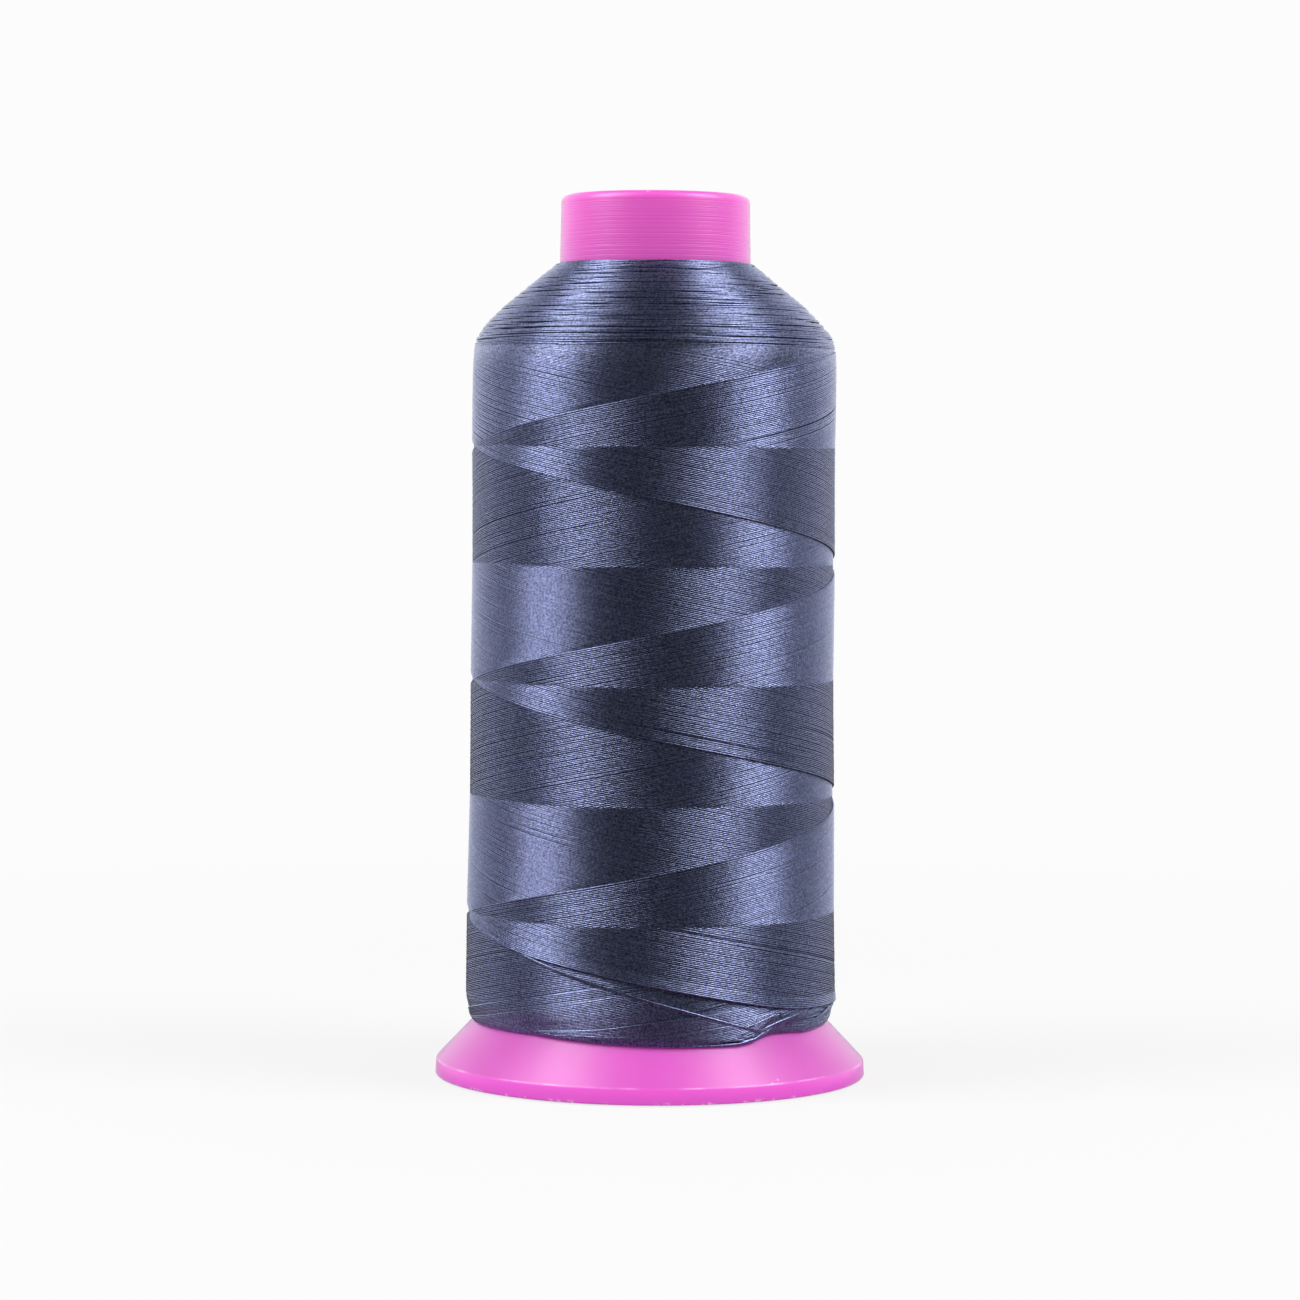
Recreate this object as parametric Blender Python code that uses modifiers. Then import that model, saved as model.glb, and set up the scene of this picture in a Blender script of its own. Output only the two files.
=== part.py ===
"""A king spool of sewing thread, in three pieces that come apart on a bench.

spool_tube      the moulded tube, open at the neck, with a centring web near its top
snap_base       the flared foot, which slides a little way down the tube to free the thread's tail
thread_package  the wound thread, a body of its own because it could be wound off

Units are metres, +Z is up, and the origin is on the spool's axis, on the surface it stands on.
"""

import math

import bmesh
import bpy
from mathutils import Matrix

COLLECTION = "spool_of_thread"
GUIDES = "guides"
STEPS = 48  # facets round each turned piece
GAP = 0.0003  # clearance between neighbouring pieces

# Overall size
HEIGHT = 0.1248
RIM_R = 0.0306
TRAVEL = 0.0025  # how far the base slides down the tube

# Tube
TUBE_R = 0.0135
NECK_R = 0.01335
BORE_R = 0.0115
NECK_ROUND = 0.0011
NECK_TAPER_Z = 0.1150
WEB_TOP_Z = 0.1185
WEB_THICK = 0.0015
PIN_HOLE_R = 0.0050
PIN_SLEEVE_WALL = 0.0012
PIN_SLEEVE_DROP = 0.0050
SEAT_R = 0.0152
SEAT_THICK = 0.0015
SEAT_SLOPE = 0.0010
TUBE_END_Z = 0.0056
BEAD_R = 0.0143
BEAD_TOP_Z = 0.0084
BEAD_THICK = 0.0010
BEAD_LEAD = 0.0010

# Base
BAND_TOP_Z = 0.00225
BAND_DRAFT = 0.0002
EDGE_ROUND = 0.0002
CONE_TOP_R = 0.0304
CONE_SLOPE = 0.95  # how much narrower the cone gets for each unit of height
BASE_WALL = 0.0015
COLLAR_TOP_Z = 0.0182
COLLAR_FOOT_Z = 0.0004
COLLAR_WALL = 0.0016
RIM_INNER_R = 0.0288
RIBS = 8
RIB_THICK = 0.0010
RIB_FOOT_Z = 0.0030
RIB_ROOT = 0.0006  # how far a rib's edges run into the walls it joins

# Thread package, as (r, z) points down its outer side
SHOULDER_TOP_Z = 0.1152
SHOULDER_BEND = (0.0219, 0.1085)
SHOULDER_FOOT = (0.0243, 0.1060)
SHOULDER_CORNER = (0.0256, 0.1047)
BODY_TOP = (0.02572, 0.1027)
BODY_MID = (0.02582, 0.0500)
BODY_BULGE = (0.02635, 0.0110)
HEEL_CORNER = (0.02635, 0.0087)
HEEL = (0.0256, 0.0072)
ARC_POINTS = 5


def clear_scene():
    for obj in list(bpy.data.objects):
        bpy.data.objects.remove(obj, do_unlink=True)


def collection(name):
    group = bpy.data.collections.new(name)
    bpy.context.scene.collection.children.link(group)
    return group


def principled(name, colour, roughness, subsurface=0.0):
    material = bpy.data.materials.new(name)
    material.use_nodes = True
    shader = material.node_tree.nodes["Principled BSDF"]
    shader.inputs["Base Color"].default_value = (*colour, 1.0)
    shader.inputs["Roughness"].default_value = roughness
    shader.inputs["Metallic"].default_value = 0.0
    shader.inputs["Subsurface Weight"].default_value = subsurface
    return material


def corner_arc(centre, radius, start_deg, end_deg, points=ARC_POINTS):
    """Points on an arc in the (r, z) half plane; 90 degrees is up, 0 is outwards."""
    angles = [math.radians(start_deg + (end_deg - start_deg) * i / (points - 1)) for i in range(points)]
    return [(centre[0] + radius * math.cos(a), centre[1] + radius * math.sin(a)) for a in angles]


def bend(start, corner, end, points=ARC_POINTS):
    """Points on the smooth curve from start to end that leaves and arrives towards the corner."""
    curve = []
    for i in range(points):
        t = i / (points - 1)
        weights = ((1 - t) ** 2, 2 * t * (1 - t), t**2)
        curve.append(tuple(sum(w * p[k] for w, p in zip(weights, (start, corner, end))) for k in (0, 1)))
    return curve


def turned(name, section, material, group):
    """A closed section of (r, z) points, turned about Z. It runs down its outer side, then up its inner one."""
    mesh = bpy.data.meshes.new(name)
    form = bmesh.new()
    corners = [form.verts.new((r, 0.0, z)) for r, z in section]
    for i, corner in enumerate(corners):
        form.edges.new((corner, corners[(i + 1) % len(corners)]))
    form.to_mesh(mesh)
    form.free()
    obj = bpy.data.objects.new(name, mesh)
    obj.data.materials.append(material)
    group.objects.link(obj)
    screw = obj.modifiers.new("Turn", "SCREW")
    screw.angle = math.tau
    screw.steps = STEPS
    screw.render_steps = STEPS
    screw.use_merge_vertices = True
    screw.merge_threshold = 0.000001
    screw.use_smooth_shade = True
    return obj


def tube_section():
    """Neck, seat ring and retaining bead outside; bore, centring web and its sleeve inside."""
    neck_turn = (NECK_R - NECK_ROUND, HEIGHT - NECK_ROUND)
    seat_foot_z = COLLAR_TOP_Z + GAP
    seat_top_z = seat_foot_z + SEAT_THICK
    outside = [
        *corner_arc(neck_turn, NECK_ROUND, 90, 0),
        (TUBE_R, NECK_TAPER_Z),
        (TUBE_R, seat_top_z + SEAT_SLOPE),
        (SEAT_R, seat_top_z),
        (SEAT_R, seat_foot_z),
        (TUBE_R, seat_foot_z),
        (TUBE_R, BEAD_TOP_Z),
        (BEAD_R, BEAD_TOP_Z),
        (BEAD_R, BEAD_TOP_Z - BEAD_THICK),
        (TUBE_R, BEAD_TOP_Z - BEAD_THICK - BEAD_LEAD),
        (TUBE_R, TUBE_END_Z),
    ]
    web_foot_z = WEB_TOP_Z - WEB_THICK
    sleeve_r = PIN_HOLE_R + PIN_SLEEVE_WALL
    inside = [
        (BORE_R, TUBE_END_Z),
        (BORE_R, web_foot_z),
        (sleeve_r, web_foot_z),
        (sleeve_r, web_foot_z - PIN_SLEEVE_DROP),
        (PIN_HOLE_R, web_foot_z - PIN_SLEEVE_DROP),
        (PIN_HOLE_R, WEB_TOP_Z),
        (BORE_R, WEB_TOP_Z),
        (BORE_R, HEIGHT - EDGE_ROUND),
        (BORE_R + EDGE_ROUND, HEIGHT),
    ]
    return outside + inside


def cone_r(z, inwards=0.0):
    """Radius at height z of the cone's surface, or of one that lies a distance inwards of it."""
    steepness = math.hypot(1.0, CONE_SLOPE)
    return CONE_TOP_R - CONE_SLOPE * (z - BAND_TOP_Z) - inwards * steepness


def cone_z(r, inwards=0.0):
    steepness = math.hypot(1.0, CONE_SLOPE)
    return BAND_TOP_Z + (CONE_TOP_R - inwards * steepness - r) / CONE_SLOPE


def base_section():
    """Rim band and cone outside; collar, counterbore for the tube's bead and hollow skirt beneath."""
    bore_r = TUBE_R + GAP
    counter_r = BEAD_R + GAP
    collar_r = counter_r + COLLAR_WALL
    step_z = BEAD_TOP_Z + TRAVEL + GAP
    return [
        (cone_r(COLLAR_TOP_Z), COLLAR_TOP_Z),
        (cone_r(BAND_TOP_Z), BAND_TOP_Z),
        (RIM_R - BAND_DRAFT / 2, BAND_TOP_Z - EDGE_ROUND),
        (RIM_R, EDGE_ROUND),
        (RIM_R - EDGE_ROUND, 0.0),
        (RIM_INNER_R, 0.0),
        (RIM_INNER_R, cone_z(RIM_INNER_R, BASE_WALL)),
        (collar_r, cone_z(collar_r, BASE_WALL)),
        (collar_r, COLLAR_FOOT_Z),
        (counter_r, COLLAR_FOOT_Z),
        (counter_r, step_z),
        (bore_r, step_z),
        (bore_r, COLLAR_TOP_Z),
    ]


def package_section():
    """Conical shoulder, long body that bulges towards its foot, and an underside that follows the cone."""
    core_r = TUBE_R + GAP
    ring_r = SEAT_R + GAP
    seat_top_z = COLLAR_TOP_Z + GAP + SEAT_THICK
    foot_z = HEEL[1] - GAP
    return [
        (core_r, SHOULDER_TOP_Z),
        SHOULDER_BEND,
        *bend(SHOULDER_FOOT, SHOULDER_CORNER, BODY_TOP),
        BODY_MID,
        BODY_BULGE,
        *bend(BODY_BULGE, HEEL_CORNER, HEEL)[1:],
        (cone_r(foot_z, -GAP), foot_z),
        (ring_r, cone_z(ring_r, -GAP)),
        (ring_r, seat_top_z + GAP),
        (core_r, seat_top_z + SEAT_SLOPE + GAP),
    ]


def rib_guide(group):
    """The fins under the skirt: one flat outline given its thickness, then spun into copies in one mesh."""
    inner_r = BEAD_R + GAP + COLLAR_WALL - RIB_ROOT
    outline = [
        (inner_r, RIB_FOOT_Z),
        (cone_r(RIB_FOOT_Z, BASE_WALL - RIB_ROOT), RIB_FOOT_Z),
        (inner_r, cone_z(inner_r, BASE_WALL - RIB_ROOT)),
    ]
    curve = bpy.data.curves.new("rib", "CURVE")
    curve.dimensions = "2D"
    curve.fill_mode = "BOTH"
    curve.extrude = RIB_THICK / 2
    spline = curve.splines.new("POLY")
    spline.points.add(len(outline) - 1)
    for point, (r, z) in zip(spline.points, outline):
        point.co = (r, z, 0.0, 1.0)
    spline.use_cyclic_u = True
    rib = bpy.data.objects.new("rib", curve)
    group.objects.link(rib)
    mesh = bpy.data.meshes.new_from_object(rib.evaluated_get(bpy.context.evaluated_depsgraph_get()))
    bpy.data.objects.remove(rib, do_unlink=True)

    form = bmesh.new()
    form.from_mesh(mesh)
    bmesh.ops.remove_doubles(form, verts=form.verts, dist=0.000001)
    stand_and_offset = Matrix.Rotation(math.pi / RIBS, 3, "Z") @ Matrix.Rotation(math.pi / 2, 3, "X")
    bmesh.ops.rotate(form, verts=form.verts, matrix=stand_and_offset)
    bmesh.ops.spin(
        form,
        geom=[*form.verts, *form.edges, *form.faces],
        axis=(0.0, 0.0, 1.0),
        angle=math.tau * (RIBS - 1) / RIBS,
        steps=RIBS - 1,
        use_duplicate=True,
    )
    bmesh.ops.recalc_face_normals(form, faces=form.faces)
    form.to_mesh(mesh)
    form.free()
    guide = bpy.data.objects.new("ribs", mesh)
    guide.hide_render = True
    guide.display_type = "WIRE"
    group.objects.link(guide)
    return guide


def join(obj, other):
    union = obj.modifiers.new("Join " + other.name, "BOOLEAN")
    union.operation = "UNION"
    union.solver = "EXACT"
    union.object = other


def main():
    clear_scene()
    spool = collection(COLLECTION)
    guides = collection(GUIDES)
    plastic = (0.79, 0.14, 0.50)
    turned("spool_tube", tube_section(), principled("tube_plastic", plastic, 0.38, 0.4), spool)
    base = turned("snap_base", base_section(), principled("base_plastic", plastic, 0.42, 0.4), spool)
    join(base, rib_guide(guides))
    thread = principled("thread", (0.075, 0.085, 0.16), 0.5)
    turned("thread_package", package_section(), thread, spool)


main()
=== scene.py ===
"""Looks for the spool of thread.

The tube and the base are turned in clear magenta plastic, and the thread is laid on strand by strand.
"""

import math
import typing

import bmesh
import bpy
import numpy as np
from bpy.props import FloatProperty, FloatVectorProperty, IntProperty, PointerProperty
from mathutils import Matrix, Vector


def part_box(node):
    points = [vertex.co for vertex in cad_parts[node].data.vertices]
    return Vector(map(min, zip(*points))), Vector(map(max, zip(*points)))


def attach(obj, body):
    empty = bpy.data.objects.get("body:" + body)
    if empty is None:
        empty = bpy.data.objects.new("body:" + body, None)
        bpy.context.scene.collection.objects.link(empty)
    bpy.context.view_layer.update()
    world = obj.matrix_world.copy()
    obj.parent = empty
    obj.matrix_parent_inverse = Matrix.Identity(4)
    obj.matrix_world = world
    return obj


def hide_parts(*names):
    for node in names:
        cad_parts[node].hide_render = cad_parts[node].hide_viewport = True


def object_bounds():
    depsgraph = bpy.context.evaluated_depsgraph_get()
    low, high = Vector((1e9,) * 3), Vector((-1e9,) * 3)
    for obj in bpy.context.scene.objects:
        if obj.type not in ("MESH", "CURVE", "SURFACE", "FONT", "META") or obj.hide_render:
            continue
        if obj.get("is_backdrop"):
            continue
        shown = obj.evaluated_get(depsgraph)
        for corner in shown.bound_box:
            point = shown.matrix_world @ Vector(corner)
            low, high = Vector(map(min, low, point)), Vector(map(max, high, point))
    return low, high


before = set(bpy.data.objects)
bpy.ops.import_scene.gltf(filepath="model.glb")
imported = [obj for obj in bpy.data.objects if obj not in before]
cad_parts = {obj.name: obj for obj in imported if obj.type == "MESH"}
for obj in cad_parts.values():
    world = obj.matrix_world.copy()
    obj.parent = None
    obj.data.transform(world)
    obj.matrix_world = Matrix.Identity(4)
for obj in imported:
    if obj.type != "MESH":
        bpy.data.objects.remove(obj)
CAD_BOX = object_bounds()

bl_info = {
    "name": "Spool of Thread",
    "version": (1, 0, 0),
    "blender": (4, 5, 0),
    "location": "View3D > Sidebar > Spool",
    "description": "Turns a spool and winds its thread as separate strands",
    "category": "Add Mesh",
}

TUBE_LOW, TUBE_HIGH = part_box("spool_tube")
BASE_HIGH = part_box("snap_base")[1]
PACKAGE_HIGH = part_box("thread_package")[1]
MM = 0.001
GAP = 0.3 * MM  # left between neighbouring parts
RIM_R = BASE_HIGH[0]
WINDING_R = RIM_R * 0.87  # the radius that lengths along a strand are reckoned at
HEIGHT = TUBE_HIGH[2]
TUBE_R = 13.5 * MM

# The base's cone: its foot stands on the rim band, and it narrows by the slope for each unit of height
CONE_FOOT_R = 30.4 * MM
CONE_FOOT_Z = 2.25 * MM
CONE_SLOPE = 0.95

# The package's outer side, top to bottom, as (radius, height)
PACKAGE_STATIONS = (
    (13.8 * MM, 115.2 * MM),
    (17.8 * MM, 111.95 * MM),
    (21.9 * MM, 108.5 * MM),
    (24.25 * MM, 106.0 * MM),
    (25.3 * MM, 104.4 * MM),
    (25.6 * MM, 102.7 * MM),
    (25.7 * MM, 80.0 * MM),
    (25.8 * MM, 50.0 * MM),
    (26.1 * MM, 26.0 * MM),
    (26.3 * MM, 12.5 * MM),
    (26.3 * MM, 8.9 * MM),
    (26.25 * MM, 7.8 * MM),
    (25.8 * MM, 7.1 * MM),
)


class WindingSettings(bpy.types.PropertyGroup):
    diameter: FloatProperty(
        name="Thread Diameter", description="Width of one strand as it lies",
        default=0.25 * MM, unit="LENGTH", precision=5,
    )
    ends: IntProperty(
        name="Strands per Lap", description="Strands side by side in one turn's climb", default=128, min=8
    )
    pitch: FloatProperty(
        name="Climb per Turn", description="Height a strand gains in one turn",
        default=32.8 * MM, unit="LENGTH",
    )
    crossing: FloatProperty(
        name="Crossing Height", description="Height of one of the level lines where strands cross",
        default=56.4 * MM, unit="LENGTH",
    )
    seam: FloatProperty(
        name="Seam Angle", description="Angle of the newest strand at the crossing height",
        default=math.radians(-78), subtype="ANGLE",
    )
    build: FloatProperty(
        name="Build per Lap", description="How far one lap of thread raises the surface",
        default=0.26 * MM, unit="LENGTH", precision=5,
    )
    top_turn: FloatProperty(
        name="Top Turn", description="Height where strands turn back at the shoulder",
        default=103.4 * MM, unit="LENGTH",
    )
    foot_turn: FloatProperty(
        name="Foot Turn", description="Height where strands turn back at the foot",
        default=8.9 * MM, unit="LENGTH",
    )
    easing: FloatProperty(
        name="Turn Easing", description="Climb over which a strand slows before it turns back",
        default=8.0 * MM, unit="LENGTH",
    )
    step: FloatProperty(
        name="Strand Step", description="Length of one straight piece of a strand",
        default=2.3 * MM, unit="LENGTH",
    )
    waver: FloatProperty(
        name="Waver", description="How far a strand strays from its line", default=0.03 * MM, unit="LENGTH",
        precision=5,
    )
    seed: IntProperty(name="Seed", description="Start of every random choice", default=7)
    colour: FloatVectorProperty(
        name="Thread Colour", description="Dyed colour of the thread", subtype="COLOR", size=3,
        default=(0.222, 0.250, 0.415), min=0, max=1,
    )


class PlasticSettings(bpy.types.PropertyGroup):
    tube_colour: FloatVectorProperty(
        name="Tube Colour", description="Colour of the tube", subtype="COLOR", size=3,
        default=(0.69, 0.070, 0.505), min=0, max=1,
    )
    base_colour: FloatVectorProperty(
        name="Base Colour", description="Colour of the base", subtype="COLOR", size=3,
        default=(0.63, 0.070, 0.490), min=0, max=1,
    )
    facets: IntProperty(name="Facets", description="Faces round each turned piece", default=256, min=24)


class StageSettings(bpy.types.PropertyGroup):
    distance: FloatProperty(
        name="Camera Distance", description="From the spool's axis to the camera",
        default=0.572, unit="LENGTH",
    )
    height: FloatProperty(
        name="Camera Height", description="Above the floor", default=0.0871, unit="LENGTH"
    )
    aim: FloatProperty(
        name="Aim Height", description="Height at the middle of the view", default=0.0604, unit="LENGTH"
    )
    aside: FloatProperty(
        name="Camera Offset", description="How far left of the spool's axis the camera stands",
        default=0.37 * MM, unit="LENGTH", precision=5,
    )
    lean: FloatProperty(
        name="Camera Lean", description="Roll of the camera about its view",
        default=math.radians(0.4), subtype="ANGLE",
    )
    lens: FloatProperty(
        name="Lens", description="Focal length behind a frame 36 mm wide", default=111.406, unit="CAMERA"
    )


# Shared helpers


def build_settings():
    return bpy.context.scene.spool_winding, bpy.context.scene.spool_plastic, bpy.context.scene.spool_stage


def new_object(name, mesh):
    obj = bpy.data.objects.new(name, mesh)
    bpy.context.scene.collection.objects.link(obj)
    return obj


def arc(centre, radius, start_deg, end_deg, points):
    angles = np.radians(np.linspace(start_deg, end_deg, points))
    return [(centre[0] + radius * math.cos(a), centre[1] + radius * math.sin(a)) for a in angles]


def turn_section(name, section, facets, material, sharp_deg=32):
    """A closed (r, z) section turned round the axis, with its faces outwards and its seam closed."""
    r, z = np.array(section).T
    if np.sum(r * np.roll(z, -1) - np.roll(r, -1) * z) < 0:
        r, z = r[::-1], z[::-1]
    angle = np.linspace(0, math.tau, facets, endpoint=False)[:, None]
    points = np.stack([r * np.cos(angle), r * np.sin(angle), z + 0 * angle], axis=-1)
    here = np.arange(facets * len(r)).reshape(facets, -1)
    turned = np.roll(here, -1, axis=0)
    faces = np.stack([here, turned, np.roll(turned, -1, axis=1), np.roll(here, -1, axis=1)], axis=-1)
    mesh = bpy.data.meshes.new(name)
    mesh.from_pydata(points.reshape(-1, 3).tolist(), [], faces.reshape(-1, 4).tolist())
    mesh.shade_smooth()
    mesh.set_sharp_from_angle(angle=math.radians(sharp_deg))
    mesh.materials.append(material)
    return new_object(name, mesh)


def heading(azimuth_deg, elevation_deg):
    azimuth, elevation = math.radians(azimuth_deg), math.radians(elevation_deg)
    level = math.cos(elevation)
    return Vector((math.sin(azimuth) * level, -math.cos(azimuth) * level, math.sin(elevation)))


def soft_box(name, azimuth_deg, elevation_deg, distance, size, power, aim=0.06):
    """A wide soft light turned to the middle of the spool."""
    light = bpy.data.lights.new(name, "AREA")
    light.shape = "RECTANGLE"
    light.size, light.size_y = size
    light.energy = power
    obj = bpy.data.objects.new(name, light)
    direction = heading(azimuth_deg, elevation_deg)
    obj.location = Vector((0.0, 0.0, aim)) + direction * distance
    obj.rotation_euler = direction.to_track_quat("Z", "Y").to_euler()
    bpy.context.scene.collection.objects.link(obj)


class Nodes:
    """Adds nodes to a tree from left to right and links them by socket name."""

    def __init__(self, tree):
        self.tree = tree
        self.count = 0

    def add(self, kind, inputs=None, **settings):
        node = self.tree.nodes.new(kind)
        node.location = (self.count * 190, -40 * (self.count % 5))
        self.count += 1
        for key, value in settings.items():
            setattr(node, key, value)
        for key, value in (inputs or {}).items():
            socket = node.inputs[key]
            if isinstance(value, bpy.types.NodeSocket):
                self.tree.links.new(value, socket)
            else:
                socket.default_value = value
        return node

    def maths(self, operation, first, second=0.0, third=0.0):
        return self.add("ShaderNodeMath", {0: first, 1: second, 2: third}, operation=operation).outputs[0]

    def ramp(self, value, source, target, **settings):
        """The value carried from the source range to the target range, and held at its ends."""
        inputs = {"Value": value, "From Min": source[0], "From Max": source[1]}
        inputs.update({"To Min": target[0], "To Max": target[1]})
        return self.add("ShaderNodeMapRange", inputs, **settings).outputs["Result"]

    def mix(self, share, first, second):
        return self.add("ShaderNodeMixRGB", {"Fac": share, "Color1": first, "Color2": second}).outputs[0]

    def noise(self, scale, detail, **inputs):
        values = {"Scale": scale, "Detail": detail, **inputs}
        return self.add("ShaderNodeTexNoise", values).outputs["Fac"]

    def scaled(self, colour, amount):
        return self.add("ShaderNodeVectorMath", {0: colour, "Scale": amount}, operation="SCALE").outputs[0]


def new_material(name):
    material = bpy.data.materials.new(name)
    material.use_nodes = True
    shader = material.node_tree.nodes["Principled BSDF"]
    return material, shader, Nodes(material.node_tree)


def finish_shader(material, shader, tint, bump=None, **values):
    """Links the colour and the bump, and sets the other sockets' plain values."""
    material.node_tree.links.new(tint, shader.inputs["Base Color"])
    if bump:
        material.node_tree.links.new(bump.outputs["Normal"], shader.inputs["Normal"])
    for key, value in values.items():
        shader.inputs[key.replace("_", " ")].default_value = value
    return material


# Materials

PALE_LINE_HIGHLIGHT = (0.85, 0.40, 0.70, 1)
PALE_SPECK = (0.90, 0.55, 0.80, 1)
PALE_WEAR_AND_HIGHLIGHT = (0.90, 0.50, 0.78, 1)


def plastic_material(name, colour, grooved):
    """Clear magenta moulding: fine turned lines with a painted highlight along them, pale specks, a little
    cloud, pale worn nicks on the rim's lower edge, a painted highlight along the crease and a painted
    brighter rim band.
    """
    material, shader, nodes = new_material(name)
    place = nodes.add("ShaderNodeTexCoord").outputs["Object"]
    height = nodes.add("ShaderNodeSeparateXYZ", {"Vector": place}).outputs["Z"]
    cloud = nodes.noise(160.0, 3.0, Vector=place, Roughness=0.6)
    swell = nodes.noise(70.0, 1.0, Vector=place)
    level = nodes.maths("MULTIPLY_ADD", height, 1 / (0.18 * MM), nodes.maths("MULTIPLY", swell, 1.2))
    lines = nodes.add(
        "ShaderNodeTexNoise", {"W": level, "Scale": 1.0, "Detail": 1.5}, noise_dimensions="1D"
    ).outputs["Fac"]
    specks = nodes.add("ShaderNodeTexVoronoi", {"Vector": place, "Scale": 420.0}, feature="F1")
    speck = nodes.ramp(specks.outputs["Distance"], (0.04, 0.11), (0.45, 0.0))
    sparse = nodes.add("ShaderNodeTexWhiteNoise", {"Vector": specks.outputs["Position"]}).outputs["Value"]
    speck = nodes.maths("MULTIPLY", speck, nodes.maths("GREATER_THAN", sparse, 0.9))
    dim, lit, painted_lit_colour = [(*[c * k for c in colour], 1) for k in (0.94, 1.06, 1.26)]
    tint = nodes.mix(cloud, dim, lit)
    # The turned lines are real grooves, made by the bump below; their pale colour is a painted highlight
    # along the lines.
    tint = nodes.mix(nodes.ramp(lines, (0.35, 0.7), (0.0, 0.09 * grooved)), tint, PALE_LINE_HIGHLIGHT)
    tint = nodes.mix(speck, tint, PALE_SPECK)
    # Painted light: the rim band below the cone's foot takes a brighter copy of the colour, which stands in
    # for light falling on it.
    painted_rim_light = nodes.ramp(height, (CONE_FOOT_Z - 0.2 * MM, CONE_FOOT_Z), (1.0, 0.0))
    tint = nodes.mix(painted_rim_light, tint, painted_lit_colour)
    # The pale line along the crease at the cone's foot is a painted highlight, broken up by the cloud; the
    # pale nicks along the rim's lower edge are wear.
    crease_highlight_patches = nodes.ramp(cloud, (0.45, 0.68), (0.06, 1.0))
    nicks = nodes.ramp(nodes.noise(1100.0, 1.0, Vector=place), (0.6, 0.68), (0.0, 1.0))
    for edge_z, half, where in ((CONE_FOOT_Z, 0.15 * MM, crease_highlight_patches), (0.15 * MM, 0.35 * MM, nicks)):
        off = nodes.maths("ABSOLUTE", nodes.maths("SUBTRACT", height, edge_z))
        highlight_and_wear = nodes.maths("MULTIPLY", nodes.ramp(off, (0.0, half), (0.9, 0.0)), where)
        tint = nodes.mix(highlight_and_wear, tint, PALE_WEAR_AND_HIGHLIGHT)
    bump = nodes.add("ShaderNodeBump", {"Height": lines, "Strength": grooved, "Distance": 0.05 * MM})
    return finish_shader(
        material, shader, tint, bump, Roughness=0.43, Specular_IOR_Level=0.9, IOR=1.49,
        Coat_Weight=0.25, Coat_Roughness=0.25,
        Sheen_Weight=1.0, Sheen_Roughness=0.30, Sheen_Tint=(1.0, 0.92, 0.98, 1.0),
        Subsurface_Weight=0.65, Subsurface_Radius=(1.0, 0.35, 0.8), Subsurface_Scale=2.2 * MM,
    )


def strand_material(name, colour):
    """Dyed filament thread: two twisted plies painted as stripes of shade and highlight, a soft sheen, flecks
    of painted sparkle, a shade for each strand, and painted light that brightens it near the foot.
    """
    material, shader, nodes = new_material(name)
    run = nodes.add("ShaderNodeUVMap", uv_map="UVMap").outputs["UV"]
    parts = nodes.add("ShaderNodeSeparateXYZ", {"Vector": run})
    shade = nodes.add("ShaderNodeAttribute", attribute_name="shade").outputs["Fac"]
    place = nodes.add("ShaderNodeTexCoord").outputs["Object"]
    ply_start = nodes.maths("MULTIPLY", shade, 61.0)
    along = nodes.maths("MULTIPLY_ADD", parts.outputs["X"], 1 / (0.52 * MM), ply_start)
    turn = nodes.maths("MULTIPLY_ADD", parts.outputs["Y"], -1.0, along)
    # The twist of the plies is painted into the colour as stripes of painted shade and highlight.
    painted_ply_relief = nodes.maths("COSINE", nodes.maths("MULTIPLY", turn, math.tau))
    # Painted sparkle: fine flecks of painted glints and shade on the fibres.
    painted_sparkle = nodes.ramp(nodes.noise(3200.0, 1.0, Vector=place), (0.3, 0.7), (0.54, 1.46))
    depth = nodes.maths("MULTIPLY_ADD", painted_ply_relief, 0.19, 1.0)
    depth = nodes.maths("MULTIPLY", depth, nodes.maths("MULTIPLY", painted_sparkle, shade))
    height = nodes.add("ShaderNodeSeparateXYZ", {"Vector": place}).outputs["Z"]
    # Painted light: the thread is made brighter towards the foot, standing in for light thrown up from the
    # base and the floor.
    painted_foot_bounce = nodes.ramp(height, (10 * MM, 34 * MM), (1.15, 1.0))
    depth = nodes.maths("MULTIPLY", depth, painted_foot_bounce)
    return finish_shader(material, shader, nodes.scaled(colour, depth), Roughness=0.33, Metallic=0.97)


def core_material(name, colour):
    """The buried layers, seen only in the gaps between strands."""
    material, shader, nodes = new_material(name)
    place = nodes.add("ShaderNodeTexCoord").outputs["Object"]
    layered = nodes.add("ShaderNodeMapping", {"Vector": place, "Scale": (0.12, 0.12, 1.0)}).outputs[0]
    streaks = nodes.noise(3800.0, 2.0, Vector=layered)
    # The core's colour is kept to between 0.15 and 0.65 of the thread's colour by the streaks, as painted
    # shade in the gaps between strands.
    tint = nodes.scaled(colour, nodes.maths("MULTIPLY_ADD", streaks, 0.5, 0.15))
    bump = nodes.add("ShaderNodeBump", {"Height": streaks, "Strength": 0.5, "Distance": 0.08 * MM})
    return finish_shader(material, shader, tint, bump, Roughness=0.7)


# The package's surface


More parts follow.
